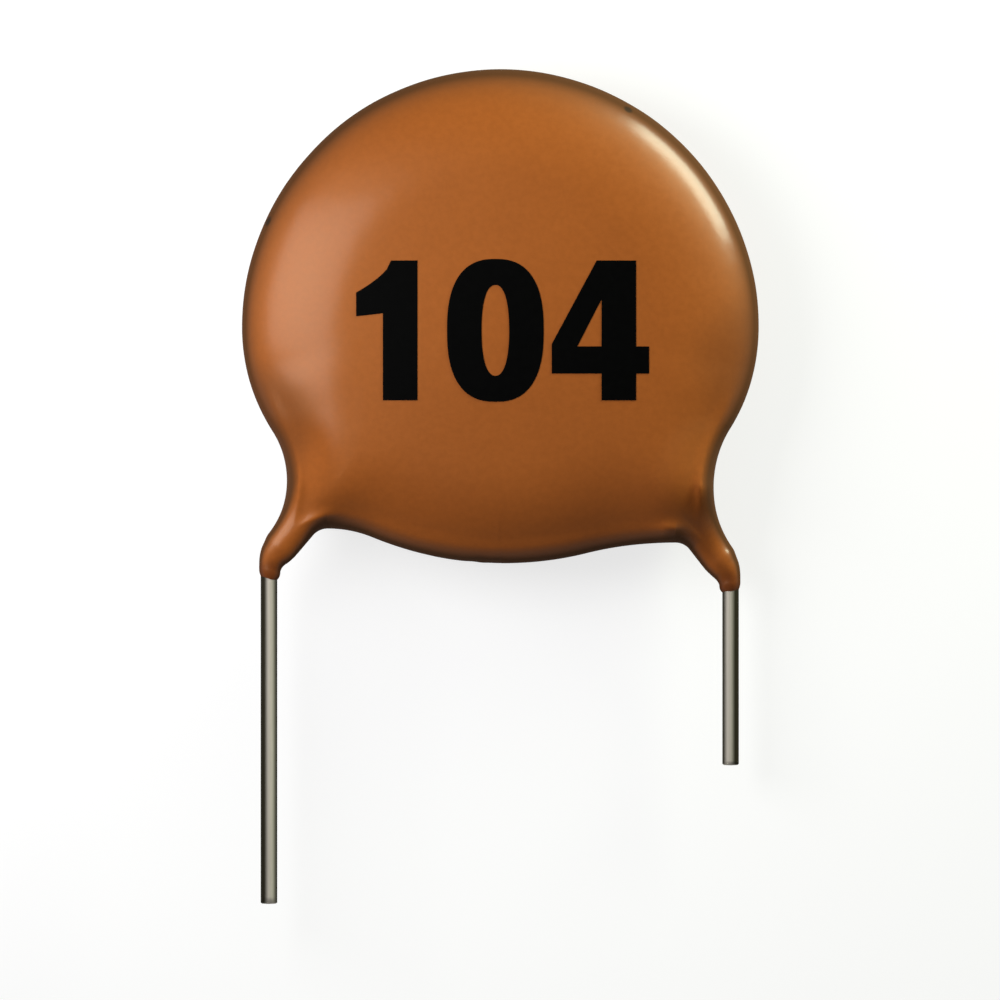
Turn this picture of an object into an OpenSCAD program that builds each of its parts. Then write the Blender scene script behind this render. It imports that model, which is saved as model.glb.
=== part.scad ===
// Ceramic disc capacitor with two radial wire leads, lying on its rear face.
// The coated disc is centred on the origin, its front face looks up and its leads point along -Y.

/* [Coating] */
// Diameter of the coated disc over its crown and flanks
coat_d = 14.05; // [13.2:0.05:16]
// Thickness of the coated disc from face to face
coat_t = 3.5; // [3:0.1:5]
// Width of the rounded rim between the flat faces and the edge
rim_w = 3; // [2.7:0.1:3.6]
// Distance that each flat face runs out towards the legs, beyond its round border
horn_len = 2; // [1.6:0.1:2.3]
// Radius of the flanks, from the widest line down to the necks
flank_r = 5.2; // [4.6:0.1:5.8]
// Radius of the hollow between the left flank and its leg
left_neck_r = 2.4; // [1.8:0.1:3.4]
// Radius of the hollow between the right flank and its leg
right_neck_r = 2.9; // [1.8:0.1:3.6]
// Squareness of the rim's curve at the necks, where 2 is an ellipse
neck_square = 3; // [2:0.1:3.6]
// Depth below the centre of the disc at which the rim starts to grow squarer
square_from = 1; // [0:0.1:2]
// Depth below the centre of the disc from which the rim is as square as it gets
square_to = 4; // [3:0.1:5]
// Depth of the belly below the centre of the disc
belly_drop = 6.38; // [6.2:0.02:6.6]
// Radius of the belly
belly_r = 9.5; // [8.4:0.1:11]
// Offset of the belly's lowest point from the centre line
belly_shift = 0.1; // [-0.4:0.05:0.4]
// Radius of the corner between each leg and the belly
crotch_r = 0.5; // [0.3:0.05:0.8]
// Height of the crotches above the bends of the leads
crotch_rise = 0.82; // [0.7:0.02:1]
// Radius of the coating round a lead at the top of its leg
leg_r = 0.48; // [0.4:0.01:0.6]
// Radius of the coating round a lead where the coating ends
tip_r = 0.31; // [0.28:0.01:0.38]
// Length of lead over which the coating thins above the bend
taper_len = 0.3; // [0.1:0.05:0.8]

/* [Leads] */
// Diameter of the lead wire
wire_d = 0.45; // [0.35:0.01:0.5]
// Distance between the centre lines of the two leads
pitch = 12.5; // [12:0.1:13]
// Radius of the wire's centre line in the bends
bend_r = 0.7; // [0.5:0.05:1]
// Extra radius of the wire where bending has upset it
bend_swell = 0.004; // [0.002:0.001:0.01]
// Length of each lead that lies inside, from its bend towards the centre of the disc
run_len = 9; // [7.5:0.1:9.5]
// Depth of the left lead's bend below the centre of the disc
left_bend_drop = 6.27; // [6:0.01:6.8]
// Depth of the right lead's bend below the centre of the disc
right_bend_drop = 6.65; // [6:0.01:6.8]
// Lean of the left lead's inner run from upright
left_lean = 41; // [36:1:44]
// Lean of the right lead's inner run from upright
right_lean = 38.5; // [36:0.5:44]
// Length of the left lead below its bend
left_leg_len = 9.04; // [4:0.01:30]
// Length of the right lead below its bend
right_leg_len = 4.97; // [4:0.01:30]

/* [Element] */
// Diameter of the ceramic disc
ceramic_d = 11.5; // [10.6:0.1:11.8]
// Thickness of the ceramic disc
ceramic_t = 0.6; // [0.3:0.05:1]
// Bare margin of ceramic round each electrode
electrode_margin = 0.55; // [0.3:0.05:1]
// Thickness of each fired silver electrode
electrode_t = 0.02; // [0.01:0.005:0.05]
// Thickness of the solder between a wire and its electrode
solder_film = 0.03; // [0.02:0.01:0.06]
// Radius of the hollow solder fillet along each side of a wire
fillet_r = 0.36; // [0.3:0.01:0.4]
// Width of thin solder outside the fillet
solder_foot = 0.2; // [0.1:0.05:0.4]
// Distance of the solder's straight length from the edge of its electrode
solder_inset = 0.9; // [0.8:0.1:1.5]
// Distance that the solder's straight length runs past the end of its wire
solder_lap = 0.15; // [0.1:0.05:0.5]

/* [Hidden] */
$fn = 64;

// Steps of the skin round the crown, along each leg, round each tip, along each side of a horn of the flat
// face, under the belly and over each half of the rim
crown_steps = 48;
leg_steps = 28;
tip_steps = 8;
horn_steps = 6;
belly_steps = 12;
rim_steps = 8;
// Steps of the solder's hollow fillet
fillet_steps = 5;

coat_r = coat_d / 2;
flat_r = coat_r - rim_w;
half_t = coat_t / 2;
wire_r = wire_d / 2;
electrode_d = ceramic_d - 2 * electrode_margin;
electrode_top = ceramic_t / 2 + electrode_t;
wire_z = electrode_top + solder_film + wire_r;
// Distance of the fillet's hidden upper edge from the middle of the wire
fillet_start = 0.5 * wire_r;
// Distance that each straight length of wire reaches into the bend, where it stays inside the swell
wire_seat = sqrt(bend_swell * bend_r);

// Each lead is [hand, depth of its bend, lean of its inner run, length below the bend, radius of its neck],
// and the hand is the sign of its X
LEFT = [-1, left_bend_drop, left_lean, left_leg_len, left_neck_r];
RIGHT = [1, right_bend_drop, right_lean, right_leg_len, right_neck_r];
function hand(l) = l[0];
function bend_drop(l) = l[1];
function lean(l) = l[2];
function leg_len(l) = l[3];
function neck_r(l) = l[4];

function dir(a) = [cos(a), sin(a)];
function angle_of(v) = atan2(v[1], v[0]);
function unit(v) = v / norm(v);
function mix(a, b, f) = a + (b - a) * f;
function clamp01(f) = min(1, max(0, f));
// Rises from 0 to 1 with level ends
function ease(f) = let (g = clamp01(f)) g * g * (3 - 2 * g);
// Smaller root of |p + u * t| = r for a unit vector u
function reach(p, u, r) = -p * u - sqrt(pow(p * u, 2) - p * p + r * r);
// Angle of a vector, from 0 up to 360
function full_angle(v) = (angle_of(v) + 360) % 360;
// Nearest point to s on the circle of centre c and radius r
function foot_on(c, r, s) = c + r * unit(s - c);

// A lead's centre line is worked out as if it were the right one: up is along its inner run, out is square
// to that on the outer side, and the bend runs from its foot to its head
function up(l) = dir(90 + lean(l));
function out(l) = dir(lean(l));
function bend_len(l) = bend_r * lean(l) * PI / 180;
function bend_foot(l) = [pitch / 2, -bend_drop(l) - bend_r * tan(lean(l) / 2)];
function bend_centre(l) = bend_foot(l) - [bend_r, 0];
function bend_head(l) = bend_centre(l) + bend_r * out(l);

// Direction out of the lead and point on it, at a distance t up the run from the bend's head
function lead_turn(l, t) = lean(l) * clamp01(1 + t / bend_len(l));
function lead_point(l, t) = t > 0 ? bend_head(l) + up(l) * t : bend_centre(l) + bend_r * dir(lead_turn(l, t));

// Round the coating's leg the skin is a sleeve that follows the lead, from the foot of the bend
function sleeve_r(l, t) = mix(tip_r, leg_r, ease((t + bend_len(l)) / (taper_len + bend_len(l))));

// Circle of the flank, and circle of the neck that touches it and the leg's outer side
flank_centre = [coat_r - flank_r, 0];
function neck_offset(l) = bend_head(l) + out(l) * (leg_r + neck_r(l)) - flank_centre;
function neck_t(l) = reach(neck_offset(l), up(l), flank_r + neck_r(l));
function neck_centre(l) = flank_centre + neck_offset(l) + up(l) * neck_t(l);

// Circle of the crotch's corner, which touches the leg's inner side and the level of the crotch
function crotch_y(l) = crotch_rise - bend_drop(l);
function crotch_base(l) = bend_head(l) - out(l) * (leg_r + crotch_r);
function crotch_t(l) = (crotch_y(l) - crotch_r - crotch_base(l)[1]) / up(l)[1];
function crotch_centre(l) = crotch_base(l) + up(l) * crotch_t(l);

// Circle of the belly, and circle of the haunch that touches it and the crotch's corner at its top
function belly_centre(l) = [belly_shift * hand(l), belly_r - belly_drop];
function crotch_span(l) = [crotch_centre(l)[0], crotch_y(l)] - belly_centre(l);
function haunch_r(l) = (crotch_span(l) * crotch_span(l) - belly_r * belly_r)
    / (2 * (belly_r + crotch_span(l)[1]));
function haunch_centre(l) = [crotch_centre(l)[0], crotch_y(l) - haunch_r(l)];

// Point of the outline on the outer side that is nearest to s: on the neck, the flank or the crown
function outer_foot(l, s) =
    full_angle(s - neck_centre(l)) > full_angle(flank_centre - neck_centre(l))
        ? foot_on(neck_centre(l), neck_r(l), s)
    : s[1] < 0 ? foot_on(flank_centre, flank_r, s)
    : foot_on([0, 0], coat_r, s);

// Point of the outline on the inner side that is nearest to s: on the crotch, the haunch or the belly
function inner_foot(l, s) =
    angle_of(s - crotch_centre(l)) < 90 ? foot_on(crotch_centre(l), crotch_r, s)
    : angle_of(s - haunch_centre(l)) < angle_of(belly_centre(l) - haunch_centre(l))
        ? foot_on(haunch_centre(l), haunch_r(l), s)
    : foot_on(belly_centre(l), belly_r, s);

// The flat face is a disc with a horn towards each leg. The horn's tip lies on the lead, and each of its
// sides is an arc that leaves the tip along the lead and meets the disc's border smoothly
function horn_t(l) = reach(bend_head(l), up(l), flat_r + horn_len);
function horn_tip(l) = lead_point(l, horn_t(l));
function horn_r(l, side) = (horn_tip(l) * horn_tip(l) - flat_r * flat_r)
    / (2 * (flat_r - side * horn_tip(l) * out(l)));
function horn_centre(l, side) = horn_tip(l) + side * out(l) * horn_r(l, side);
function horn_from(l, side) = side > 0 ? lean(l) + 180 : lean(l);
function horn_to(l, side) = angle_of(horn_centre(l, side)) + 180;
function horn_point(l, side, f) =
    horn_centre(l, side) + horn_r(l, side) * dir(mix(horn_from(l, side), horn_to(l, side), f));
function horn_end(l, side) = angle_of(horn_centre(l, side));

// A strip of the skin runs from a point on the edge to a point on the spine, the line or border where it is
// level, and from there flat to a point at its core. It is [edge, spine, core, middle height, half thickness,
// squareness of its rim]
function flat_strip(edge, spine, core, square = 2) = [edge, spine, core, 0, half_t, square];
function leg_strip(l, side, edge, t) = let (f = ease((t - taper_len) / (horn_t(l) - taper_len)))
    [edge, lead_point(l, t), lead_point(l, t), -hand(l) * wire_z * (1 - f), mix(sleeve_r(l, t), half_t, f),
    mix(2, rim_square(side, edge), f)];
function leg_t(l, i) = mix(-bend_len(l), horn_t(l), i / leg_steps);
function leg_side(l, side, t) = lead_point(l, t) + side * dir(lead_turn(l, t)) * sleeve_r(l, t);
// The rim grows squarer down the outer side, towards the necks
function rim_square(side, edge) =
    side > 0 ? mix(2, neck_square, ease((-edge[1] - square_from) / (square_to - square_from))) : 2;
// Point of the outline at t, drawn in by as much as the sleeve has thinned there
function thinned(l, foot, t) = foot - unit(foot - lead_point(l, t)) * (leg_r - sleeve_r(l, t));

// Strips of one lead's side of the skin, from the border of the flat face round the leg and back to it
function horn_strips(l, side) = [for (i = [1:horn_steps - 1])
    let (f = i / horn_steps, s = horn_point(l, side, f))
    let (edge = side > 0 ? outer_foot(l, s) : inner_foot(l, s))
    flat_strip(edge, s, lead_point(l, mix(horn_t(l), reach(bend_head(l), up(l), flat_r), f)),
        rim_square(side, edge))];
function outer_strips(l) = [for (i = [0:leg_steps]) let (t = leg_t(l, i), s = lead_point(l, t))
    leg_strip(l, 1, t < neck_t(l) ? leg_side(l, 1, t) : thinned(l, outer_foot(l, s), t), t)];
function inner_strips(l) = [for (i = [0:leg_steps]) let (t = leg_t(l, i), s = lead_point(l, t))
    leg_strip(l, -1, t < crotch_t(l) ? leg_side(l, -1, t) : thinned(l, inner_foot(l, s), t), t)];
function tip_strips(l) = [for (i = [1:tip_steps - 1])
    leg_strip(l, -1, bend_foot(l) + tip_r * dir(-180 * i / tip_steps), -bend_len(l))];
function turned_back(list) = [for (i = [len(list) - 1:-1:0]) list[i]];
function lead_strips(l) = concat(turned_back(horn_strips(l, 1)), turned_back(outer_strips(l)), tip_strips(l),
    inner_strips(l), horn_strips(l, -1));

// Round the crown and under the belly the spine is the border of the flat face, taken from angle a to angle b
function on_side(l, p) = [hand(l) * p[0], p[1]];
function crown_strip(a) =
    let (l = cos(a) < 0 ? LEFT : RIGHT, edge = outer_foot(l, on_side(l, flat_r * dir(a))))
    flat_strip(on_side(l, edge), flat_r * dir(a), [0, 0], rim_square(1, edge));
function belly_strip(a) = let (l = cos(a) < 0 ? LEFT : RIGHT, s = on_side(l, flat_r * dir(a)))
    flat_strip(on_side(l, inner_foot(l, s)), flat_r * dir(a), [0, 0]);
crown_strips = [for (i = [0:crown_steps])
    crown_strip(mix(horn_end(RIGHT, 1), 180 - horn_end(LEFT, 1), i / crown_steps))];
belly_strips = [for (i = [0:belly_steps])
    belly_strip(mix(180 - horn_end(LEFT, -1), 360 + horn_end(RIGHT, -1), i / belly_steps))];
function swap_side(strips) = [for (s = strips) [on_side(LEFT, s[0]), on_side(LEFT, s[1]), on_side(LEFT, s[2]),
    s[3], s[4], s[5]]];
strips = concat(crown_strips, swap_side(lead_strips(LEFT)), belly_strips, turned_back(lead_strips(RIGHT)));

// Across a strip the skin is a quarter of an ellipse, or of a squarer curve, from the edge at angle 0 to the
// spine at angle 90, on the front above and on the rear below
function ring(a) = [for (s = strips) concat(mix(s[0], s[1], 1 - pow(cos(a), 2 / s[5])),
    s[3] + s[4] * sign(a) * pow(abs(sin(a)), 2 / s[5]))];
function core(face) = [for (s = strips) concat(s[2], s[3] + face * s[4])];

// The skin is one closed surface: rings from the rear face's core round the rim to the front face's core
module skin() {
    n = len(strips);
    points = concat(core(-1), [for (j = [-rim_steps:rim_steps]) each ring(90 * j / rim_steps)], core(1));
    faces = [for (j = [0:2 * rim_steps + 1]) for (i = [0:n - 1]) let (a = j * n + i, b = j * n + (i + 1) % n)
        each [[a, a + n, b], [b, a + n, b + n]]];
    polyhedron(points, faces);
}

// Places children made about the centre of the right lead's bend at a lead's own side and face: the left
// lead is on the front face and the right one on the rear face
module at_lead(l) {
    mirror([hand(l) < 0 ? 1 : 0, 0, 0]) mirror([0, 0, hand(l) > 0 ? 1 : 0])
        translate([bend_centre(l)[0], bend_centre(l)[1], wire_z]) children();
}

// Turns children that lie along +Y onto the lead's inner run, with the origin at the bend's centre
module along_run(l) {
    rotate(lean(l)) translate([bend_r, 0, 0]) children();
}

// The wire is a straight leg below the bend, the bend, and the inner run above it
module inner_run(l) {
    at_lead(l) along_run(l) translate([0, -wire_seat, 0]) rotate([-90, 0, 0])
        cylinder(r = wire_r, h = run_len + wire_seat);
}
module lead_wire(l) {
    at_lead(l) {
        translate([bend_r, wire_seat, 0]) rotate([90, 0, 0]) cylinder(r = wire_r, h = leg_len(l) + wire_seat);
        rotate_extrude(angle = lean(l)) translate([bend_r, 0]) circle(r = wire_r + bend_swell);
    }
    inner_run(l);
}

// Half of the solder's section: a thin foot and a hollow fillet that ends inside the wire
fillet_half = concat([[0, 0], [fillet_start + fillet_r + solder_foot, 0],
    [fillet_start + fillet_r + solder_foot, solder_film]],
    [for (i = [0:fillet_steps]) [fillet_start + fillet_r, solder_film + fillet_r]
        + fillet_r * dir(-90 - 90 * i / fillet_steps)],
    [[0, solder_film + fillet_r]]);

// The solder lies along the inner run, from inside the electrode's edge to past the end of the wire, and its
// two ends are round
module solder_mound(l) {
    start = reach(bend_head(l), up(l), electrode_d / 2 - solder_inset);
    straight = run_len + solder_lap - start;
    at_lead(l) along_run(l) translate([0, start, -wire_r - solder_film]) {
        rotate([90, 0, 180]) linear_extrude(straight) {
            polygon(fillet_half);
            mirror([1, 0]) polygon(fillet_half);
        }
        translate([0, straight, 0]) rotate_extrude(angle = 180) polygon(fillet_half);
        rotate(180) rotate_extrude(angle = 180) polygon(fillet_half);
    }
}

module ceramic_body() {
    cylinder(d = ceramic_d, h = ceramic_t, center = true);
}

module electrode_layer(face) {
    translate([0, 0, face * (ceramic_t + electrode_t) / 2])
        cylinder(d = electrode_d, h = electrode_t, center = true);
}

// The pieces below are made about the middle of the coated disc and lifted so that its rear face lies at Z 0
module lift() {
    translate([0, 0, half_t]) children();
}

module coating() {
    color("#A05A2C") lift() difference() {
        skin();
        ceramic_body();
        electrode_layer(1);
        electrode_layer(-1);
        solder_mound(LEFT);
        solder_mound(RIGHT);
        lead_wire(LEFT);
        lead_wire(RIGHT);
    }
}

module ceramic_disc() {
    color("#C8B48C") lift() ceramic_body();
}

module front_electrode() {
    color("#D8D8D4") lift() electrode_layer(1);
}

module rear_electrode() {
    color("#D8D8D4") lift() electrode_layer(-1);
}

module solder_joint(l) {
    color("#B8BABC") lift() difference() {
        solder_mound(l);
        inner_run(l);
    }
}

module front_solder() {
    solder_joint(LEFT);
}

module rear_solder() {
    solder_joint(RIGHT);
}

module left_lead() {
    color("#A09890") lift() lead_wire(LEFT);
}

module right_lead() {
    color("#A09890") lift() lead_wire(RIGHT);
}

coating();
ceramic_disc();
front_electrode();
rear_electrode();
front_solder();
rear_solder();
left_lead();
right_lead();
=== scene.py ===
"""A ceramic disc capacitor lying on its rear face on a pale table, seen straight from above.

The wires, the dipped coating and the printed figures are made here, round the frame's own solids. All sizes
are in millimetres in the frame's axes and are turned to metres where a mesh is made.
"""

import math

import bmesh
import bpy
import numpy as np
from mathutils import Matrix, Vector, noise
from mathutils.bvhtree import BVHTree


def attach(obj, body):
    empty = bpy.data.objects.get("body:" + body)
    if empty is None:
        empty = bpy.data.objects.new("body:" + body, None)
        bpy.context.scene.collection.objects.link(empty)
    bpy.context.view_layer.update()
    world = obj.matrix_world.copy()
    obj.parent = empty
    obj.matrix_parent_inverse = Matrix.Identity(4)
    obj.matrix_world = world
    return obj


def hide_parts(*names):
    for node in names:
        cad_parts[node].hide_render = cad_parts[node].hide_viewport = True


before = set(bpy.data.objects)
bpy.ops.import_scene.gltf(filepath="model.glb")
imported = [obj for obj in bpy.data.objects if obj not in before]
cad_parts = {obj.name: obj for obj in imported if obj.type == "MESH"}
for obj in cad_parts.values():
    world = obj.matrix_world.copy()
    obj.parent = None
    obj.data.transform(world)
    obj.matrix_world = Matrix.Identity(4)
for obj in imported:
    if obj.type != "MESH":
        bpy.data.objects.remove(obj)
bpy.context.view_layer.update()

MM = 0.001

# ---------------------------------------------------------------- camera

VIEW_W = 27.08                 # width of the picture at the height of the coating's middle
VIEW_AT = (-0.01, -4.66)
LENS, SENSOR = 300, 36
MID_Z = 1.75                   # the coating's middle plane above the table

camera = bpy.data.objects.new("camera", bpy.data.cameras.new("camera"))
camera.data.lens, camera.data.sensor_width = LENS, SENSOR
camera.data.clip_start, camera.data.clip_end = 0.01, 5
camera.location = Vector((*VIEW_AT, MID_Z + VIEW_W * LENS / SENSOR)) * MM
bpy.context.scene.collection.objects.link(camera)
bpy.context.scene.camera = camera
bpy.context.scene.view_settings.view_transform = "Standard"

# ---------------------------------------------------------------- helpers


def linear(hex_colour):
    """The linear RGBA of an sRGB hex colour."""
    parts = [int(hex_colour[i:i + 2], 16) / 255 for i in (1, 3, 5)]
    return (*(p / 12.92 if p <= 0.04045 else ((p + 0.055) / 1.055) ** 2.4 for p in parts), 1)


def add(tree, kind, inputs=None, **settings):
    """Adds a node with its settings. inputs gives each socket, by name or number, its value or its link."""
    node = tree.nodes.new(kind)
    for key, value in settings.items():
        setattr(node, key, value)
    for key, value in (inputs or {}).items():
        if isinstance(value, bpy.types.NodeSocket):
            tree.links.new(value, node.inputs[key])
        else:
            node.inputs[key].default_value = value
    return node


def new_material(name):
    """A material with an empty tree, its object coordinates in millimetres and its output."""
    material = bpy.data.materials.new(name)
    material.use_nodes = True
    tree = material.node_tree
    tree.nodes.clear()
    place = add(tree, "ShaderNodeTexCoord").outputs["Object"]
    place = add(tree, "ShaderNodeVectorMath", {0: place, "Scale": 1 / MM}, operation="SCALE").outputs[0]
    return material, tree, place, add(tree, "ShaderNodeOutputMaterial")


def surface(tree, output, inputs):
    """The shader that a material ends in."""
    shader = add(tree, "ShaderNodeBsdfPrincipled", inputs)
    tree.links.new(shader.outputs[0], output.inputs["Surface"])


def calc(tree, operation, *values, **settings):
    """One step of arithmetic on numbers or links."""
    return add(tree, "ShaderNodeMath", dict(enumerate(values)), operation=operation, **settings).outputs[0]


def measure(tree, operation, a, b):
    """The dot product of two vectors, or the distance between them."""
    return add(tree, "ShaderNodeVectorMath", {0: a, 1: b}, operation=operation).outputs["Value"]


def ramp(tree, value, start=0.0, end=1.0, low=0.0, high=1.0, kind="LINEAR"):
    """A number that goes from low to high while the value goes from start to end."""
    node = add(tree, "ShaderNodeMapRange", {"Value": value, "From Min": start, "From Max": end,
                                            "To Min": low, "To Max": high}, interpolation_type=kind)
    return node.outputs[0]


def blend(tree, factor, a, b):
    """The colour between two colours or links."""
    return add(tree, "ShaderNodeMix", {"Factor": factor, "A": a, "B": b}, data_type="RGBA").outputs[2]


def speckle(tree, place, size, detail, roughness=0.5):
    """Noise from 0 to 1 with specks of a size in millimetres."""
    return add(tree, "ShaderNodeTexNoise", {"Vector": place, "Scale": 1 / size, "Detail": detail,
                                            "Roughness": roughness}).outputs["Fac"]


def bumps(tree, height, depth):
    """The normals of a fine relief, with its depth in millimetres."""
    return add(tree, "ShaderNodeBump", {"Height": height, "Distance": depth * MM}).outputs[0]


def mesh_object(name, points, faces, material):
    """An object from points in millimetres."""
    mesh = bpy.data.meshes.new(name)
    mesh.from_pydata([tuple(p) for p in np.asarray(points) * MM], [], faces)
    mesh.materials.append(material)
    mesh.shade_smooth()
    piece = bpy.data.objects.new(name, mesh)
    bpy.context.scene.collection.objects.link(piece)
    return piece


# ---------------------------------------------------------------- table and lamps

FLOOR_Z = -0.01
FLOOR_R, FLOOR_BEND, FLOOR_RIM = 520, 80, 150

# Matt white laminate: it takes the soft shadow, and its own white shows fully to the camera and less in gloss
laminate, tree, place, output = new_material("matt white laminate")
FLOOR_ALBEDO, FLOOR_OWN, FLOOR_GLOSS = 0.34, 0.74, 0.3
rays = add(tree, "ShaderNodeLightPath").outputs
seen = calc(tree, "MULTIPLY_ADD", rays["Is Glossy Ray"], FLOOR_GLOSS, rays["Is Camera Ray"])
seen = calc(tree, "MAXIMUM", seen, rays["Is Transmission Ray"])
own = calc(tree, "MULTIPLY", seen, FLOOR_OWN)
matt = add(tree, "ShaderNodeBsdfDiffuse", {"Color": (FLOOR_ALBEDO,) * 3 + (1,)}).outputs[0]
glow = add(tree, "ShaderNodeEmission", {"Strength": own}).outputs[0]
add_up = add(tree, "ShaderNodeAddShader", {0: matt, 1: glow}).outputs[0]
tree.links.new(add_up, output.inputs["Surface"])

# The floor turns up into a low wall far round the part, so that level views have it behind them
FLOOR_SIDES, FLOOR_BEND_STEPS = 96, 12
profile = [(0, 0), (FLOOR_R - FLOOR_BEND, 0)]
profile += [(FLOOR_R - FLOOR_BEND + FLOOR_BEND * math.sin(a), FLOOR_BEND * (1 - math.cos(a)))
            for a in np.linspace(0, math.pi / 2, FLOOR_BEND_STEPS + 1)[1:]]
profile += [(FLOOR_R, FLOOR_RIM)]
points, faces = [], []
for radius, height in profile:
    for i in range(FLOOR_SIDES):
        a = 2 * math.pi * i / FLOOR_SIDES
        points.append((radius * math.cos(a), radius * math.sin(a), FLOOR_Z + height))
for j in range(len(profile) - 1):
    for i in range(FLOOR_SIDES):
        k = (i + 1) % FLOOR_SIDES
        a, b = j * FLOOR_SIDES, (j + 1) * FLOOR_SIDES
        faces.append((a + i, b + i, b + k, a + k) if j else (i, b + i, b + k))
floor = mesh_object("floor", points, faces, laminate)

world = bpy.data.worlds.new("dim room")
bpy.context.scene.world = world
world.use_nodes = True
ROOM_LIGHT = 0.18
world.node_tree.nodes["Background"].inputs["Color"].default_value = (1, 1, 1, 1)
world.node_tree.nodes["Background"].inputs["Strength"].default_value = ROOM_LIGHT


def lamp(name, azimuth, elevation, distance, size, radiance, cloth="#FFFFFF"):
    """A flat soft box that faces the coating's middle. Its radiance doesn't change with its size."""
    light = bpy.data.lights.new(name, "AREA")
    light.shape, light.size, light.size_y = "RECTANGLE", size[0] * MM, size[1] * MM
    light.energy = radiance * math.pi * light.size * light.size_y
    light.color = linear(cloth)[:3]
    a, e = math.radians(azimuth), math.radians(elevation)
    out = Vector((math.cos(a) * math.cos(e), math.sin(a) * math.cos(e), math.sin(e)))
    box = bpy.data.objects.new(name, light)
    box.location = (Vector((0, 0, MID_Z)) + out * distance) * MM
    box.rotation_mode = "QUATERNION"
    box.rotation_quaternion = out.to_track_quat("Z", "Y")
    box.visible_camera = False
    bpy.context.scene.collection.objects.link(box)


lamp("soft_box", 166, 44, 32, (21, 25), 6.1)
lamp("strip_box", 40, 11, 60, (37, 19), 21.5, "#F4FFE2")

# ---------------------------------------------------------------- the part's own sizes, as in its solids

COAT_R, HALF_T = 7.025, 1.75
RIM_W, HORN_LEN = 3.0, 2.0
FLAT_R = COAT_R - RIM_W
FLANK_R = 5.2
BELLY_DROP, BELLY_R, BELLY_SHIFT = 6.38, 9.5, 0.1
CROTCH_R, CROTCH_RISE = 0.5, 0.82
LEG_R, TIP_R, TAPER_LEN = 0.48, 0.31, 0.3
WIRE_R, WIRE_Z = 0.225, 0.575
PITCH, BEND_R, RUN_LEN = 12.5, 0.7, 9.0


def direction(angle):
    return np.array((math.cos(math.radians(angle)), math.sin(math.radians(angle))))


def angle_of(v):
    return math.degrees(math.atan2(v[1], v[0]))


def mix(a, b, f):
    return a + (b - a) * f


def ease(f):
    f = min(1.0, max(0.0, f))
    return f * f * (3 - 2 * f)


def reach(p, u, r):
    """Smaller root of |p + u t| = r for a unit vector u."""
    along = -p @ u
    return along - math.sqrt(along * along - p @ p + r * r)


def foot_on(centre, radius, s):
    """Nearest point to s on a circle."""
    away = s - centre
    return centre + radius * away / math.hypot(*away)


class Lead:
    """One lead's route and the coating's outline beside it, worked out as if it were the right one."""

    def __init__(self, hand, bend_drop, lean, leg_len, neck_r):
        self.hand, self.lean, self.leg_len, self.neck_r = hand, lean, leg_len, neck_r
        self.up, self.out = direction(90 + lean), direction(lean)
        self.bend_len = BEND_R * math.radians(lean)
        self.foot = np.array((PITCH / 2, -bend_drop - BEND_R * math.tan(math.radians(lean / 2))))
        self.centre = self.foot - (BEND_R, 0)
        self.head = self.centre + BEND_R * self.out
        # The flank's circle, and the neck's circle that touches it and the leg
        self.flank = np.array((COAT_R - FLANK_R, 0))
        offset = self.head + self.out * (LEG_R + neck_r) - self.flank
        self.neck_t = reach(offset, self.up, FLANK_R + neck_r)
        self.neck = self.flank + offset + self.up * self.neck_t
        # The corner of the crotch, the haunch and the belly
        top = CROTCH_RISE - bend_drop
        base = self.head - self.out * (LEG_R + CROTCH_R)
        self.crotch_t = (top - CROTCH_R - base[1]) / self.up[1]
        self.crotch = base + self.up * self.crotch_t
        self.belly = np.array((BELLY_SHIFT * hand, BELLY_R - BELLY_DROP))
        span = np.array((self.crotch[0], top)) - self.belly
        self.haunch_r = (span @ span - BELLY_R ** 2) / (2 * (BELLY_R + span[1]))
        self.haunch = np.array((self.crotch[0], top - self.haunch_r))
        # The horn of the flat face, and where the lead crosses the flat face's border
        self.horn_t = reach(self.head, self.up, FLAT_R + HORN_LEN)
        self.border_t = reach(self.head, self.up, FLAT_R)
        self.horn_tip = self.point(self.horn_t)

    def turn(self, t):
        return self.lean * min(1.0, max(0.0, 1 + t / self.bend_len))

    def point(self, t):
        """Point of the centre line, at a distance t up the inner run from the bend's head."""
        if t > 0:
            return self.head + self.up * t
        if t < -self.bend_len:
            return self.foot + np.array((0, t + self.bend_len))
        return self.centre + BEND_R * direction(self.turn(t))

    def sleeve_r(self, t, tip_r=TIP_R):
        return mix(tip_r, LEG_R, ease((t + self.bend_len) / (TAPER_LEN + self.bend_len)))

    def outer_foot(self, s):
        if angle_of(s - self.neck) % 360 > angle_of(self.flank - self.neck) % 360:
            return foot_on(self.neck, self.neck_r, s)
        return foot_on(self.flank, FLANK_R, s) if s[1] < 0 else foot_on(np.zeros(2), COAT_R, s)

    def inner_foot(self, s):
        if angle_of(s - self.crotch) < 90:
            return foot_on(self.crotch, CROTCH_R, s)
        if angle_of(s - self.haunch) < angle_of(self.belly - self.haunch):
            return foot_on(self.haunch, self.haunch_r, s)
        return foot_on(self.belly, BELLY_R, s)

    def horn_centre(self, side):
        tip = self.horn_tip
        radius = (tip @ tip - FLAT_R ** 2) / (2 * (FLAT_R - side * tip @ self.out))
        return tip + side * self.out * radius, radius

    def on_side(self, p):
        return np.array((self.hand * p[0], p[1]))


LEFT = Lead(-1, 6.27, 41, 9.04, 2.4)
RIGHT = Lead(1, 6.65, 38.5, 4.97, 2.9)

# ---------------------------------------------------------------- coating

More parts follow.
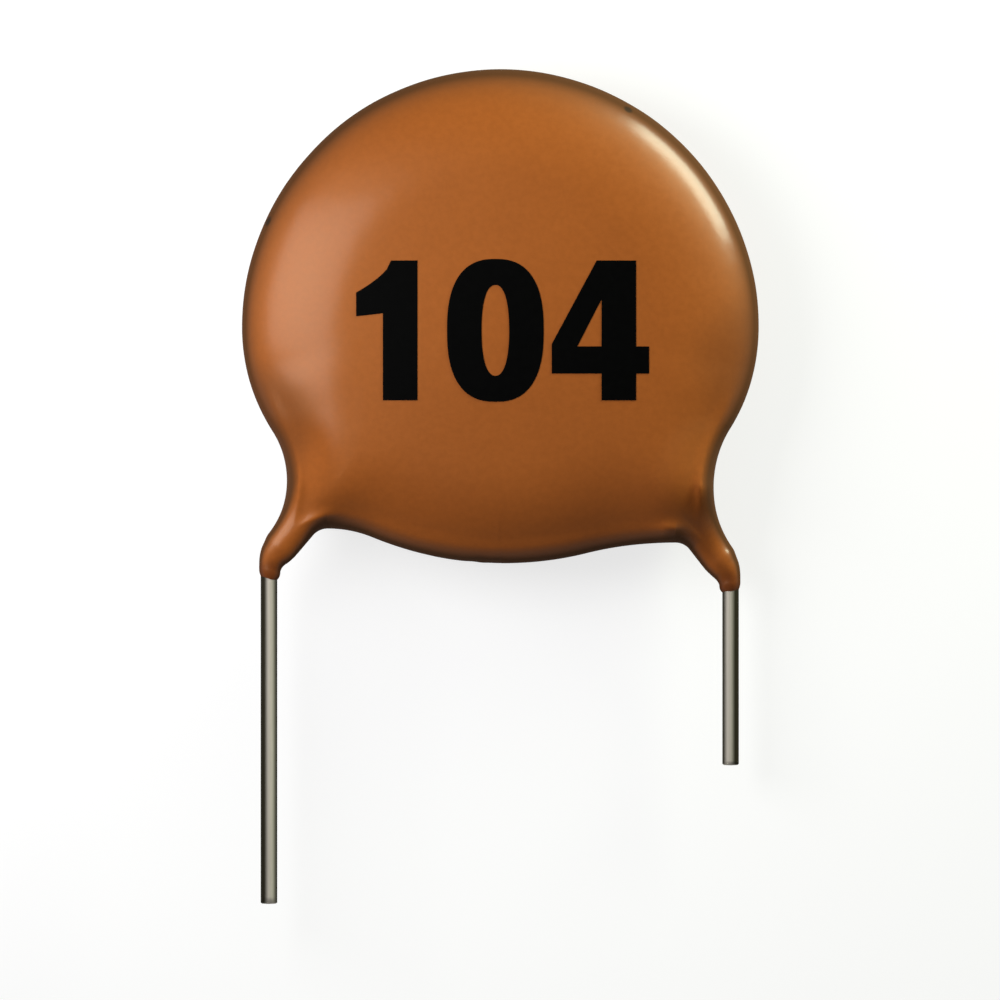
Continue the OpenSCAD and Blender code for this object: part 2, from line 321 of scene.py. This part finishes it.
CROWN_STEPS, LEG_STEPS, TIP_STEPS, HORN_STEPS, BELLY_STEPS = 200, 96, 28, 20, 88
FAN_STEPS = 24                 # strips beside each horn whose inner ends spread along the lead's line
RIM_STEPS, FACE_STEPS = 22, 14
TOP_Z = 3.482                  # a little under the solid's front face, which leaves room for the ink
DOME = 0.13                    # fall of the front face from its middle to its border
NECK_SQUARE = 3.0              # power of the rim's curve at the necks, where 2 is an ellipse
NECK_FROM, NECK_TO = -1.0, -4.0
# In the bend the resin lies thin on the outer side of the wire and runs down into the inner corner
TIP_OUTER_R, CORNER_FILL = 0.27, 0.12


class Strip:
    """A line over the skin from the edge to the spine, where it is level, and on to the core."""

    def __init__(self, lead, edge, spine, core, fullness=1.0, sleeve=0.0, outer=False):
        self.edge, self.spine, self.core = (lead.on_side(p) for p in (edge, spine, core))
        self.fullness, self.sleeve = fullness, sleeve
        self.mid = -lead.hand * WIRE_Z * (1 - fullness)
        neck = ease((edge[1] - NECK_FROM) / (NECK_TO - NECK_FROM)) * fullness if outer else 0
        self.square = mix(2.0, NECK_SQUARE, neck)


def leg_strip(lead, side, t):
    """The strip at a place along the leg, on its outer (1) or inner (-1) side."""
    spine = lead.point(t)
    sleeve = lead.sleeve_r(t, TIP_OUTER_R if side > 0 else TIP_R)
    if t < (lead.neck_t if side > 0 else lead.crotch_t):
        edge = spine + side * direction(lead.turn(t)) * sleeve
    else:
        edge = lead.outer_foot(spine) if side > 0 else lead.inner_foot(spine)
        edge = edge - (edge - spine) / math.hypot(*(edge - spine)) * (LEG_R - sleeve)
    if side < 0:
        edge = edge - (0, CORNER_FILL * ease(1 - (t + lead.bend_len) / (TAPER_LEN + lead.bend_len)))
    fullness = ease((t - TAPER_LEN) / (lead.horn_t - TAPER_LEN))
    return Strip(lead, edge, spine, spine, fullness, lead.sleeve_r(t), outer=side > 0)


def lead_strips(lead):
    """Strips round one leg, from the flat face's border on the outer side to that on the inner side."""
    sides = {}
    for side in (1, -1):
        centre, radius = lead.horn_centre(side)
        start = lead.lean + (180 if side > 0 else 0)
        end = angle_of(centre) + 180
        strips = []
        for i in range(1, HORN_STEPS):
            f = i / HORN_STEPS
            spine = centre + radius * direction(mix(start, end, f))
            edge = lead.outer_foot(spine) if side > 0 else lead.inner_foot(spine)
            core = lead.point(mix(lead.horn_t, lead.border_t, f))
            strips.append(Strip(lead, edge, spine, core, outer=side > 0))
        leg = [leg_strip(lead, side, mix(-lead.bend_len, lead.horn_t, i / LEG_STEPS))
               for i in range(LEG_STEPS + 1)]
        sides[side] = leg + strips
    tip = []
    for i in range(1, TIP_STEPS):
        across, down = direction(-180 * i / TIP_STEPS)
        radius = mix(TIP_R, TIP_OUTER_R, (1 + across) / 2)
        edge = lead.foot + np.array((radius * across, TIP_R * down - CORNER_FILL * (1 - across) / 2))
        tip.append(Strip(lead, edge, lead.foot, lead.foot, 0, TIP_R))
    return sides[1][::-1] + tip + sides[-1]


def arc_strips(foot, start, end, steps):
    """Strips from angle start to angle end of the flat face's border, round the crown or under the belly."""
    strips = []
    for i in range(steps + 1):
        a = mix(start, end, i / steps)
        lead = LEFT if math.cos(math.radians(a)) < 0 else RIGHT
        near = min(i, steps - i, FAN_STEPS) / FAN_STEPS
        spine = lead.on_side(FLAT_R * direction(a))
        core = mix(lead.point(lead.border_t), np.zeros(2), near)
        strips.append(Strip(lead, getattr(lead, foot)(spine), spine, core, outer=foot == "outer_foot"))
    return strips


def horn_end(lead, side):
    return angle_of(lead.horn_centre(side)[0])


strips = arc_strips("outer_foot", horn_end(RIGHT, 1), 180 - horn_end(LEFT, 1), CROWN_STEPS)
strips += lead_strips(LEFT)
strips += arc_strips("inner_foot", 180 - horn_end(LEFT, -1), 360 + horn_end(RIGHT, -1), BELLY_STEPS)
strips += lead_strips(RIGHT)[::-1]


def ripple(p, size, seed):
    """Smooth noise from 0 to 1 with lumps of a size."""
    return 0.5 + 0.5 * noise.noise(Vector(p) / size + Vector((seed, 0.37, 0.71)))


def skin_point(strip, angle, inward, face):
    """Point of the skin, at an angle up the rim or, inward of that, a share of the way to the core."""
    power = 2 / strip.square
    across = 1 + inward if inward else 1 - math.cos(angle) ** power
    rise = math.sin(angle) ** power
    flat = strip.edge + (strip.spine - strip.edge) * min(1, across) \
        + (strip.core - strip.spine) * max(0, across - 1)
    top = TOP_Z - MID_Z if face > 0 else HALF_T
    fall = DOME * (flat @ flat) / FLAT_R ** 2 if face > 0 else 0
    thick = mix(strip.sleeve, top - fall, strip.fullness)
    return np.array((*flat, MID_Z + strip.mid + face * thick * rise))


QUARTER = math.pi / 2
rings = [(QUARTER, 1 - i / FACE_STEPS, -1) for i in range(FACE_STEPS)]
rings += [(QUARTER * abs(j) / RIM_STEPS, 0, 1 if j > 0 else -1) for j in range(-RIM_STEPS, RIM_STEPS + 1)]
rings += [(QUARTER, i / FACE_STEPS, 1) for i in range(1, FACE_STEPS + 1)]

points = [skin_point(s, *ring) for ring in rings for s in strips]
count = len(strips)
faces = []
for j in range(len(rings) - 1):
    for i in range(count):
        a, b = j * count + i, j * count + (i + 1) % count
        faces.append((a, b, b + count, a + count))


def skin_mesh():
    """The skin as a bmesh in millimetres, closed, with one vertex wherever strips share a point."""
    skin = bmesh.new()
    verts = [skin.verts.new(p) for p in points]
    for face in faces:
        if len({tuple(np.round(points[v], 6)) for v in face}) > 2:
            skin.faces.new([verts[v] for v in face])
    bmesh.ops.remove_doubles(skin, verts=skin.verts, dist=1e-5)
    bmesh.ops.dissolve_degenerate(skin, edges=skin.edges, dist=1e-6)
    bmesh.ops.recalc_face_normals(skin, faces=skin.faces)
    return skin


# The dip leaves low lumps on the front, an edge that isn't quite true and uneven lips on the wires. The lumps
# and the edge's waver only take away from the true form, and the rear face stays level
LUMP, LUMP_SIZE = 0.03, 3.2
EDGE_WANDER, EDGE_SIZE = 0.02, 1.5
LIP_WANDER, LIP_SIZE, LIP_REACH, LIP_LIFT = 0.12, 0.35, 0.5, 0.3
LEG_START, LEG_FADE = 0.2, 1.6 # height above a lip at which the lumps begin, and over which they grow
LEG_TRUER = 0.7                # the share by which a leg's edge wavers less


def settle(vert):
    """Moves a point of the skin to where the resin sets."""
    p, n = vert.co.copy(), vert.normal.copy()
    lead = LEFT if p.x < 0 else RIGHT
    from_lip = p.y - lead.foot[1]
    on_leg = 1 - ease((from_lip - LEG_START) / LEG_FADE)
    lump = LUMP * ripple(p, LUMP_SIZE, seed=3.1) * ease(p.z / MID_Z) * (1 - on_leg)
    wander = EDGE_WANDER * ripple((p.x, p.y, 0), EDGE_SIZE, seed=8.4) * math.hypot(n.x, n.y)
    wander *= 1 - LEG_TRUER * on_leg
    vert.co = p - n * lump - Vector((n.x, n.y, 0)) * wander
    if from_lip < LIP_REACH:
        vert.co.y += LIP_WANDER * (ripple((p.x, lead.hand, p.z), LIP_SIZE, seed=5.2) - LIP_LIFT) \
            * ease(1 - from_lip / LIP_REACH) ** 2


# Resin flows before it sets, so at the necks the front has no line sharper than this. The blur begins below
# FLOW_TOP and inward of the edge, where the surroundings are nearly all coated
FLOW, FLOW_STEP, FLOW_EDGE = 0.4, 0.06, 7.5
FLOW_TOP, FLOW_FADE = -1.0, 1.5
COVERED, COVERED_FADE = 0.84, 0.15
RAY_Z = 10                     # a height well above everything


def front_place(tree, x, y):
    """Where a line straight down meets the front, or None."""
    return tree.ray_cast(Vector((x, y, RAY_Z)), Vector((0, 0, -1)))[0]


def front_heights(skin):
    """A grid of the front's height above the table, and how much of each place's surroundings is coated."""
    tree = BVHTree.FromBMesh(skin)
    ticks = np.arange(-FLOW_EDGE, FLOW_EDGE, FLOW_STEP)
    height = np.full((len(ticks), len(ticks)), MID_Z)
    for i, x in enumerate(ticks):
        for j, y in enumerate(ticks):
            hit = front_place(tree, x, y)
            if hit:
                height[i, j] = hit.z
    return height, (height > MID_Z).astype(float)


def blurred(grid):
    """The grid after a Gaussian blur."""
    half = int(3 * FLOW / FLOW_STEP)
    bell = np.exp(-0.5 * (np.arange(-half, half + 1) * FLOW_STEP / FLOW) ** 2)
    bell /= bell.sum()
    for axis in (0, 1):
        grid = np.apply_along_axis(lambda row: np.convolve(row, bell, mode="same"), axis, grid)
    return grid


def at_place(grid, x, y):
    """The grid's value between its points."""
    u, v = (x + FLOW_EDGE) / FLOW_STEP, (y + FLOW_EDGE) / FLOW_STEP
    i, j = int(u), int(v)
    fu, fv = u - i, v - j
    return mix(mix(grid[i, j], grid[i + 1, j], fu), mix(grid[i, j + 1], grid[i + 1, j + 1], fu), fv)


skin = skin_mesh()
height, coated = front_heights(skin)
height, coated = blurred(height), blurred(coated)
for vert in skin.verts:
    x, y, z = vert.co
    if z > MID_Z and y > -FLOW_EDGE + 3 * FLOW_STEP:
        share = ease((FLOW_TOP - y) / FLOW_FADE)
        share *= ease((at_place(coated, x, y) - COVERED) / COVERED_FADE)
        vert.co.z = mix(z, at_place(height, x, y), share)
skin.normal_update()
for vert in skin.verts:
    settle(vert)
skin.normal_update()
skin_tree = BVHTree.FromBMesh(skin)

# Dipped phenolic resin, cured and waxed: a satin warm brown with a soft glow, and painted shade on its
# steep edges
resin, tree, place, output = new_material("dipped phenolic resin")
RESIN_IOR, RESIN_ROUGH = 1.56, 0.45
EDGE_ROUGH, NECK_ROUGH = 0.85, 0.8
UNSHADED_WAY = (-0.02, -0.1, 1.0)     # the skin keeps its full colour where it faces this way, and gets painted shade, more roughness and less wax as it turns from it
STEEP, SHEER = 0.91, 0.5       # measures along it at which the painted edge shade begins, and at which it is full
WAX, WAX_RIM = 0.26, 0.72      # the clear film of wax on the face, and on the rim that it ran to
WAX_RUN = (0.51, 0.43, 0.74)   # the way that rim faces
WAX_NEAR, WAX_THERE = 0.93, 0.98  # measures along it between which the film thickens
LEADWARD, CROWNWARD = 0.92, 0.9   # painted shade: the coating's tone at the leads and at the crown, against its middle's
LEADS_Y, MIDDLE_Y, CROWN_Y = -6.5, 1.0, 7.0
GRAIN, PEEL, CLOUD = 0.16, 0.6, 4.5   # sizes of the filler's grain, the orange peel and the clouds of tone
GRAIN_TONE, GRAIN_ROUGH = 0.04, 0.03  # what the grain adds to or takes from the tone and the roughness
GRAIN_RELIEF, PEEL_DEPTH = 0.12, 0.006

facing = add(tree, "ShaderNodeTexCoord").outputs["Normal"]
upward = calc(tree, "ABSOLUTE", measure(tree, "DOT_PRODUCT", facing, UNSHADED_WAY))
shaded_edge = ramp(tree, upward, STEEP, SHEER, kind="SMOOTHSTEP")
grain = speckle(tree, place, GRAIN, 3.0, roughness=0.6)
cloud = ramp(tree, speckle(tree, place, CLOUD, 2.0), 0.3, 0.7)
colour = blend(tree, cloud, linear("#9E531B"), linear("#A4571D"))
tone = ramp(tree, grain, 0.35, 0.65, 1 - GRAIN_TONE, 1 + GRAIN_TONE)
# Painted shade: the tone is darkened towards the leads and towards the crown
along = add(tree, "ShaderNodeSeparateXYZ", {0: place}).outputs["Y"]
for end, share in ((LEADS_Y, LEADWARD), (CROWN_Y, CROWNWARD)):
    tone = calc(tree, "MULTIPLY", tone, ramp(tree, along, MIDDLE_Y, end, 1.0, share))
colour = add(tree, "ShaderNodeVectorMath", {0: colour, "Scale": tone}, operation="SCALE").outputs[0]
# Painted shade: the steep edges are darkened as they turn from UNSHADED_WAY
colour = blend(tree, shaded_edge, colour, linear("#4E2A0E"))

# Two burnt pits in the edge, where a bubble broke in the oven, the lips on the wires, where the skin is thin
# and red, and painted shade on the two flanks: each is a place, a radius, a share and a colour
BURNT, THIN_RED, FLANK_SHADE = "#140B06", "#5A2408", "#5A2E12"
SPOTS = (((-6.33, 2.9, 2.08), 0.2, 0.95, BURNT), ((3.46, 5.9, 2.2), 0.17, 0.9, BURNT),
         ((-6.25, -6.75, 2.6), 0.6, 0.65, THIN_RED), ((6.25, -7.1, 1.45), 0.6, 0.65, THIN_RED),
         ((-6.25, -2.5, 2.6), 1.9, 0.5, FLANK_SHADE), ((6.7, -0.9, 2.2), 2.2, 0.3, FLANK_SHADE))
for spot, radius, share, tint in SPOTS:
    away = measure(tree, "DISTANCE", place, spot)
    tinted = ramp(tree, away, 0.4 * radius, radius, share, 0.0, "SMOOTHSTEP")
    colour = blend(tree, tinted, colour, linear(tint))

# The resin that sank into the two necks is matt
NECKS, NECK_MATT_R = ((-5.5, -3.6, 2.8), (5.6, -3.9, 2.8)), 1.7
matt_neck = 0.0
for neck in NECKS:
    away = measure(tree, "DISTANCE", place, neck)
    sunk = ramp(tree, away, 0.5 * NECK_MATT_R, NECK_MATT_R, 1.0, 0.0, "SMOOTHSTEP")
    matt_neck = calc(tree, "ADD", sunk, matt_neck)

relief = calc(tree, "MULTIPLY_ADD", grain, GRAIN_RELIEF, speckle(tree, place, PEEL, 1.0))
bump = bumps(tree, relief, PEEL_DEPTH)
dull = ramp(tree, grain, 0.3, 0.7, RESIN_ROUGH - GRAIN_ROUGH, RESIN_ROUGH + GRAIN_ROUGH)
for where, roughness in ((shaded_edge, EDGE_ROUGH), (matt_neck, NECK_ROUGH)):
    dull = add(tree, "ShaderNodeMix", {"Factor": where, "A": dull, "B": roughness}).outputs[0]

# The wax is taken off where the steep edges carry painted shade and where the necks are matt
wax = ramp(tree, measure(tree, "DOT_PRODUCT", facing, WAX_RUN), WAX_NEAR, WAX_THERE, WAX, WAX_RIM)
holds = ramp(tree, shaded_edge, 0.5, 1.0, 1.0, 0.0)
holds = calc(tree, "SUBTRACT", holds, matt_neck, use_clamp=True)
wax = calc(tree, "MULTIPLY", wax, holds)
# The resin's own gloss takes on its brown, and a thin film of wax over it is clear and sharper
surface(tree, output, {"Base Color": colour, "Roughness": dull, "IOR": RESIN_IOR, "Normal": bump,
                       "Specular Tint": linear("#FFCF9E"), "Coat Weight": wax, "Coat Roughness": 0.22,
                       "Coat IOR": 1.45, "Coat Normal": bump})


def piece_from(name, form, material, slot, *replaced):
    """Turns a bmesh in millimetres into a piece that rides on the part."""
    bmesh.ops.scale(form, vec=(MM,) * 3, verts=form.verts)
    mesh = bpy.data.meshes.new(name)
    form.to_mesh(mesh)
    form.free()
    mesh.materials.append(material)
    mesh.shade_smooth()
    piece = bpy.data.objects.new(name, mesh)
    bpy.context.scene.collection.objects.link(piece)
    if replaced:
        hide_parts(*replaced)
    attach(piece, "root")
    return piece


# ---------------------------------------------------------------- printed figures

FIGURE_H, STEM_W, BAR_W = 3.76, 0.93, 0.73
FIGURE_LOW = -1.98
INK_T, INK_ROOT = 0.014, 0.012
RING_SIDES = 72


def ring_of(half_w, half_h, power):
    """A rounded ring of points, between an ellipse and a rectangle."""
    ring = []
    for i in range(RING_SIDES):
        c, s = direction(360 * i / RING_SIDES)
        ring.append((half_w * math.copysign(abs(c) ** (2 / power), c),
                     FIGURE_H / 2 + half_h * math.copysign(abs(s) ** (2 / power), s)))
    return ring


# Each figure is its outline from its own middle, followed by the hole in it where there is one
def figure_one():
    left, root, right = -0.22, 0.0, -0.22 + STEM_W
    top = [(right, 0), (right, FIGURE_H), (root, FIGURE_H)]
    curve = [(root - 0.94 * f, FIGURE_H - 0.86 * f ** 0.62) for f in np.linspace(0.12, 1, 8)]
    under = [(left - 0.72, FIGURE_H - 1.5), (left, FIGURE_H - 1.42), (left, 0)]
    return [top + curve + under]


def figure_zero():
    return [ring_of(1.3, FIGURE_H / 2 + 0.04, 2.5), ring_of(1.3 - STEM_W, FIGURE_H / 2 - 0.66, 2.3)]


def figure_four():
    half, bar = 1.31, 0.72
    stem = 0.03
    outer = [(stem, 0), (stem + STEM_W, 0), (stem + STEM_W, bar), (half, bar), (half, bar + BAR_W),
             (stem + STEM_W, bar + BAR_W), (stem + STEM_W, FIGURE_H), (-0.1, FIGURE_H),
             (-half, bar + BAR_W + 0.06), (-half, bar), (stem, bar)]
    return [outer, [(stem, bar + BAR_W), (stem, 2.72), (-0.62, bar + BAR_W)]]


# Marking ink: dense black and matt, a thin film that follows the coating
ink_black, tree, place, output = new_material("black marking ink")
worn = speckle(tree, place, 0.2, 3.0)
surface(tree, output, {"Base Color": blend(tree, worn, linear("#010101"), linear("#040404")),
                       "Roughness": ramp(tree, worn, low=0.5, high=0.62), "IOR": 1.45,
                       "Specular IOR Level": 0.04})

GRID = 0.2                     # the film is cut this finely, to lie on the coating's curve
FIGURE_REACH, FIGURE_SPARE = 1.5, 0.1   # half the width that is cut, and what is cut beyond top and bottom


def print_figure(name, middle, contours):
    """A thin film of ink in the shape of the contours, which lies on the coating and is rooted in it."""
    outline = bpy.data.curves.new(name, "CURVE")
    outline.dimensions, outline.fill_mode = "2D", "BOTH"
    for contour in contours:
        spline = outline.splines.new("POLY")
        spline.points.add(len(contour) - 1)
        spline.use_cyclic_u = True
        for point, (x, y) in zip(spline.points, contour):
            point.co = (x + middle, y + FIGURE_LOW, 0, 1)
    flat = bpy.data.objects.new(name, outline)
    film = bmesh.new()
    film.from_mesh(flat.to_mesh())
    bpy.data.objects.remove(flat)
    bpy.data.curves.remove(outline)
    for axis, low, high in ((0, middle - FIGURE_REACH, middle + FIGURE_REACH),
                            (1, FIGURE_LOW - FIGURE_SPARE, FIGURE_LOW + FIGURE_H + FIGURE_SPARE)):
        for at in np.arange(low, high, GRID):
            where, across = Vector((0, 0, 0)), Vector((0, 0, 0))
            where[axis], across[axis] = at, 1
            bmesh.ops.bisect_plane(film, geom=film.verts[:] + film.edges[:] + film.faces[:], plane_co=where,
                                   plane_no=across)
    bmesh.ops.remove_doubles(film, verts=film.verts, dist=1e-4)
    for vert in film.verts:
        vert.co.z = front_place(skin_tree, vert.co.x, vert.co.y).z + INK_T
    top = film.faces[:]
    made = bmesh.ops.extrude_face_region(film, geom=top, use_keep_orig=True)["geom"]
    for vert in [g for g in made if isinstance(g, bmesh.types.BMVert)]:
        vert.co.z -= INK_T + INK_ROOT
    bmesh.ops.recalc_face_normals(film, faces=film.faces)
    piece_from(name, film, ink_black, None).data.shade_flat()


print_figure("figure_one", -2.94, figure_one())
print_figure("figure_zero", -0.135, figure_zero())
print_figure("figure_four", 2.69, figure_four())

piece_from("dipped_coat", skin, resin, "coating", "coating")

# ---------------------------------------------------------------- leads

TUBE_SIDES = 48
END_CHAMFER, END_SLOPE = 0.045, 0.05
LEG_RINGS, BEND_RINGS = 60, 16
UNEVEN, UNEVEN_SIZE, UNEVEN_LEN = 0.014, 0.8, 3.0   # the drawn wire is this much thinner in places


def lead_tube(lead):
    """The drawn wire: leg with its cut end, bend and inner run."""
    t_end = -lead.bend_len - lead.leg_len
    # Each station is a place along the lead and a share of the wire's radius
    stations = [(t_end, 0.0), (t_end, 0.8), (t_end + 0.4 * END_CHAMFER, 0.95), (t_end + END_CHAMFER, 1.0)]
    stations += [(t, 1.0) for t in np.linspace(t_end + END_CHAMFER, -lead.bend_len, LEG_RINGS)[1:]]
    stations += [(t, 1.0) for t in np.linspace(-lead.bend_len, 0, BEND_RINGS)[1:]]
    stations += [(RUN_LEN, 1.0), (RUN_LEN, 0.0)]
    tube = bmesh.new()
    rings = []
    for t, share in stations:
        centre = lead.point(t)
        out = direction(lead.turn(t))
        ring = []
        for i in range(TUBE_SIDES):
            c, s = direction(360 * i / TUBE_SIDES)
            drawn = 1 - UNEVEN * ripple((c, s, t / UNEVEN_LEN), UNEVEN_SIZE, seed=2.2)
            radius = WIRE_R * share * drawn
            p = lead.on_side(centre + out * radius * c)
            y = p[1] + (END_SLOPE * radius * (1 + s) if t == t_end or t < t_end + END_CHAMFER / 2 else 0)
            ring.append(tube.verts.new((p[0], y, MID_Z - lead.hand * WIRE_Z + radius * s)))
        rings.append(ring)
    for a, b in zip(rings, rings[1:]):
        for i in range(TUBE_SIDES):
            k = (i + 1) % TUBE_SIDES
            tube.faces.new((a[i], a[k], b[k], b[i]))
    bmesh.ops.remove_doubles(tube, verts=tube.verts, dist=1e-6)
    bmesh.ops.recalc_face_normals(tube, faces=tube.faces)
    return tube


# Copper wire, hot-tinned and drawn: a soft grey shine, with marks along it and painted shade down its sides
tinned, tree, place, output = new_material("tinned copper wire")
MARK_W, MARK_L, MARK_DEPTH = 0.05, 2.0, 0.003
TOWARDS = 0.2                  # the painted side shade on each wire is lighter on the side towards the other
SIDE_SHADE_FROM, SIDE_SHADE_FULL = 0.12, 0.78   # how far a place faces sideways where the painted shade starts and is full
stretched = add(tree, "ShaderNodeVectorMath", {0: place, 1: (1 / MARK_W, 1 / MARK_L, 1 / MARK_W)},
                operation="MULTIPLY").outputs[0]
marks = speckle(tree, stretched, 1.0, 3.0)
facing = add(tree, "ShaderNodeTexCoord").outputs["Normal"]
side = add(tree, "ShaderNodeSeparateXYZ", {0: facing}).outputs["X"]
hand = calc(tree, "SIGN", add(tree, "ShaderNodeSeparateXYZ", {0: place}).outputs["X"])
side = calc(tree, "ABSOLUTE", calc(tree, "MULTIPLY_ADD", hand, TOWARDS, side))
# Painted shade down the wire's sides
side_shade = ramp(tree, side, SIDE_SHADE_FROM, SIDE_SHADE_FULL, kind="SMOOTHSTEP")
bright = blend(tree, marks, linear("#CBC5BA"), linear("#DFD9CE"))
surface(tree, output, {"Base Color": blend(tree, side_shade, bright, linear("#3A362B")), "Metallic": 1.0,
                       "Roughness": ramp(tree, marks, low=0.7, high=0.8),
                       "Normal": bumps(tree, marks, MARK_DEPTH)})

for name, lead in (("left_lead", LEFT), ("right_lead", RIGHT)):
    piece_from(name + "_wire", lead_tube(lead), tinned, "tinned_wire", name)

# ---------------------------------------------------------------- pieces inside the coating

# Barium titanate, pressed and sintered: a matt buff ceramic with a fine grain
ceramic, tree, place, output = new_material("sintered barium titanate")
grain = speckle(tree, place, 0.1, 4.0)
surface(tree, output, {"Base Color": blend(tree, grain, linear("#BFA477"), linear("#CDB48A")),
                       "Roughness": 0.7, "IOR": 2.0, "Normal": bumps(tree, grain, 0.004)})

# Silver paste, screen printed and fired: pale and frosted
silver, tree, place, output = new_material("fired silver")
mesh_mark = speckle(tree, place, 0.15, 2.0)
surface(tree, output, {"Base Color": blend(tree, mesh_mark, linear("#DAD8D2"), linear("#EDECE8")),
                       "Metallic": 1.0, "Roughness": ramp(tree, mesh_mark, low=0.4, high=0.55)})

# Tin solder, wetted and frozen: bright and slightly wrinkled
solder, tree, place, output = new_material("tin solder")
wrinkle = speckle(tree, place, 0.3, 2.0)
surface(tree, output, {"Base Color": blend(tree, wrinkle, linear("#B4B4B2"), linear("#D0D0CE")),
                       "Metallic": 1.0, "Roughness": 0.28, "Normal": bumps(tree, wrinkle, 0.01)})

for material, names in ((ceramic, ("ceramic_disc",)), (silver, ("front_electrode", "rear_electrode")),
                        (solder, ("front_solder", "rear_solder"))):
    for name in names:
        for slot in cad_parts[name].material_slots:
            slot.material = material
